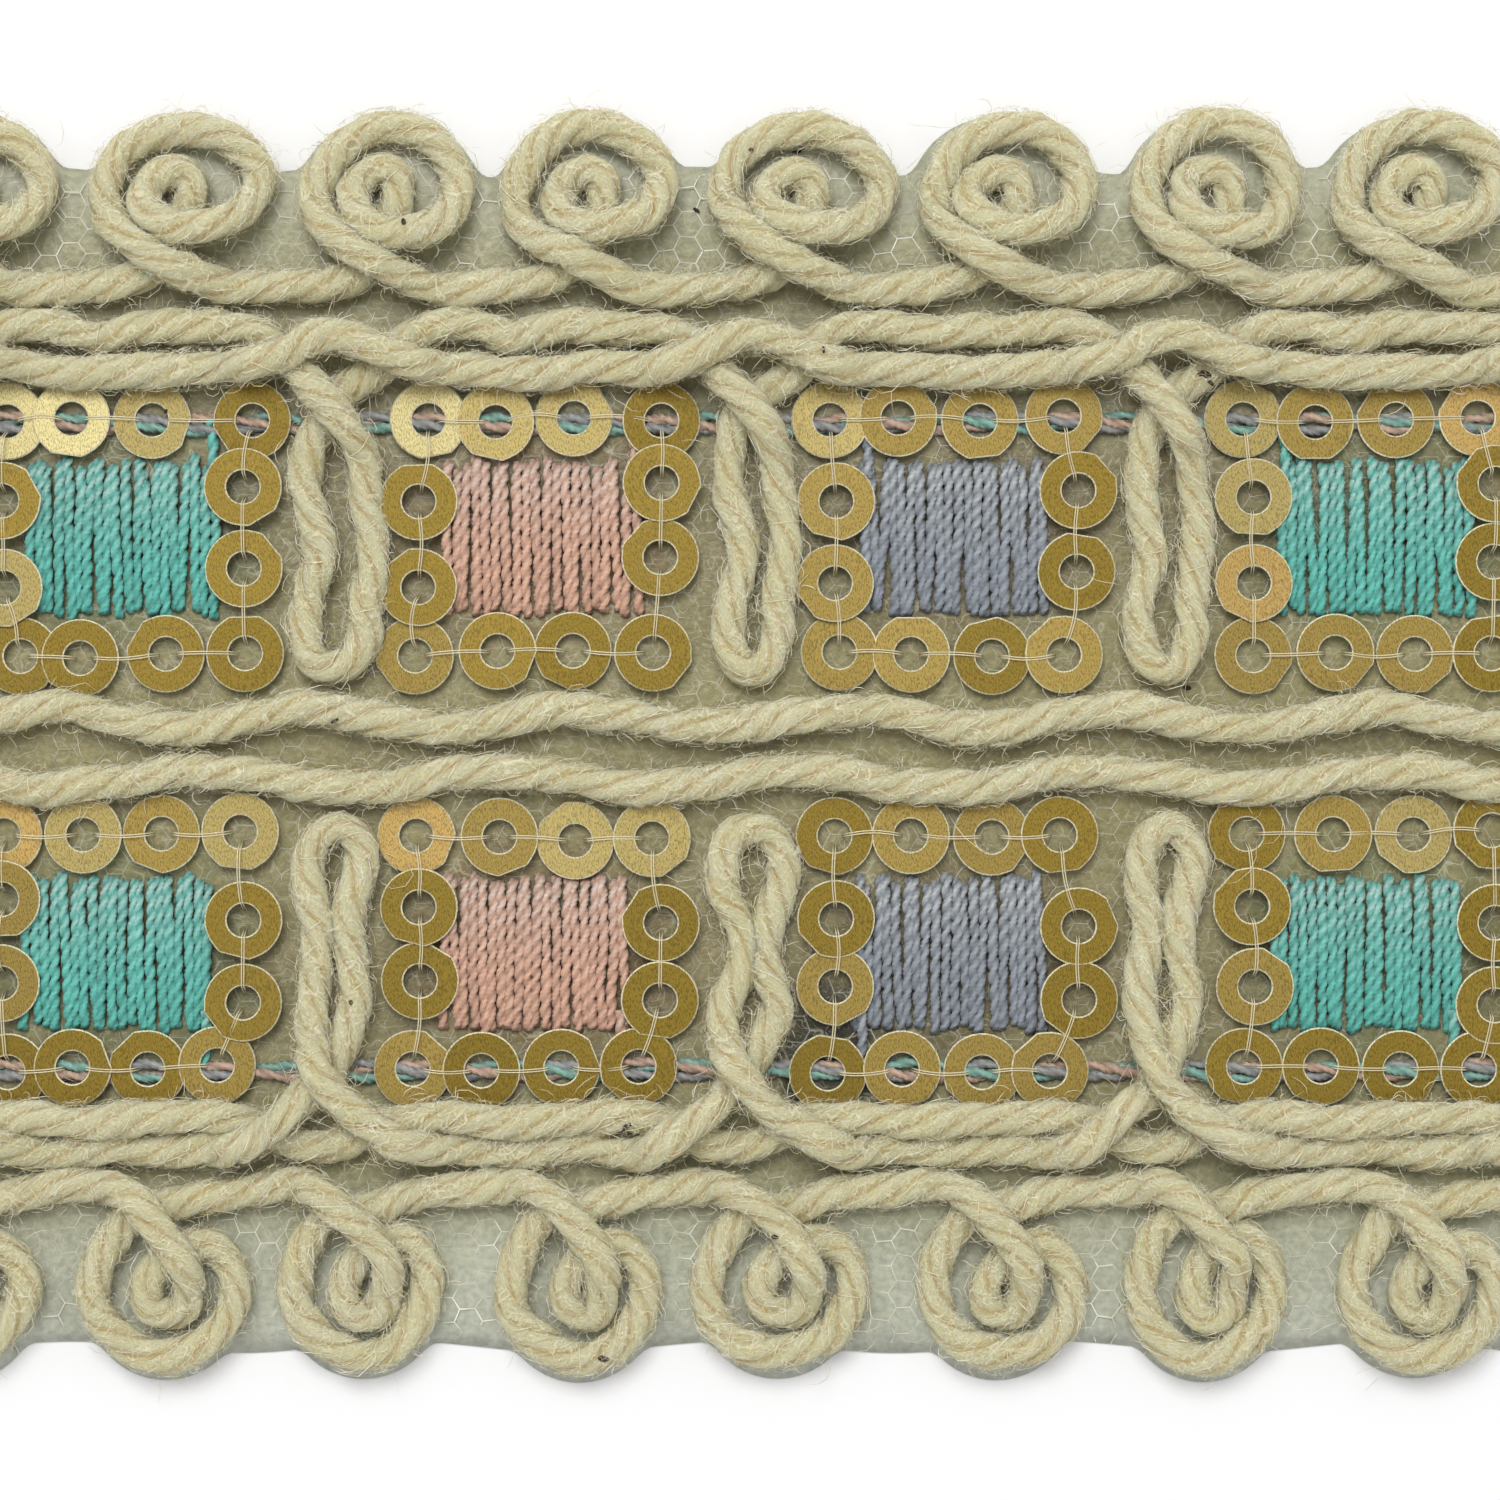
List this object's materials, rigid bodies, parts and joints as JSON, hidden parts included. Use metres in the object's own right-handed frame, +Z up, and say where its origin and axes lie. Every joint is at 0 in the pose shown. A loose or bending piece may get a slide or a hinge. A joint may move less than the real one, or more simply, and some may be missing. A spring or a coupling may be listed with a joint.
{
  "type": "sequin trim",
  "caption": "Flat cut length of sheer net trim with couched cord rosettes, loops and waves, straight-stitch blocks and frames of ring sequins.",
  "frame": {"origin": "middle of the strip's length and width, on the surface that it lies on", "axes": "+X along the strip, +Y across it towards the edge that is uppermost in the picture, +Z up out of the face that carries the cords and sequins"},
  "size_m": [0.087, 0.0651, 0.0041],
  "materials": {
    "net": "sheer hexagonal net over a hazy film, slight sheen",
    "cord_yarn": "matt twisted wool yarn, fuzzy",
    "thread_teal": "glossy twisted rayon thread",
    "thread_pink": "glossy twisted rayon thread",
    "thread_lavender": "glossy twisted rayon thread",
    "sequin": "metallised gold film, fine brushed grain"
  },
  "bodies": {
    "root": {"net_ground": "net", "cord_upper_edge": "cord_yarn", "cord_upper_looped": "cord_yarn", "cord_upper_plain": "cord_yarn", "cord_upper_middle": "cord_yarn", "cord_lower_edge": "cord_yarn", "cord_lower_looped": "cord_yarn", "cord_lower_plain": "cord_yarn", "cord_lower_middle": "cord_yarn", "stitches_upper_1": "thread_teal", "sequins_upper_1_far": "sequin", "sequins_upper_1_near": "sequin", "sequins_upper_1_left": "sequin", "sequins_upper_1_right": "sequin", "stitches_upper_2": "thread_pink", "sequins_upper_2_far": "sequin", "sequins_upper_2_near": "sequin", "sequins_upper_2_left": "sequin", "sequins_upper_2_right": "sequin", "stitches_upper_3": "thread_lavender", "sequins_upper_3_far": "sequin", "sequins_upper_3_near": "sequin", "sequins_upper_3_left": "sequin", "sequins_upper_3_right": "sequin", "stitches_upper_4": "thread_teal", "sequins_upper_4_far": "sequin", "sequins_upper_4_near": "sequin", "sequins_upper_4_left": "sequin", "sequins_upper_4_right": "sequin", "stitches_lower_1": "thread_teal", "sequins_lower_1_far": "sequin", "sequins_lower_1_near": "sequin", "sequins_lower_1_left": "sequin", "sequins_lower_1_right": "sequin", "stitches_lower_2": "thread_pink", "sequins_lower_2_far": "sequin", "sequins_lower_2_near": "sequin", "sequins_lower_2_left": "sequin", "sequins_lower_2_right": "sequin", "stitches_lower_3": "thread_lavender", "sequins_lower_3_far": "sequin", "sequins_lower_3_near": "sequin", "sequins_lower_3_left": "sequin", "sequins_lower_3_right": "sequin", "stitches_lower_4": "thread_teal", "sequins_lower_4_far": "sequin", "sequins_lower_4_near": "sequin", "sequins_lower_4_left": "sequin", "sequins_lower_4_right": "sequin"}
  },
  "joints": []
}
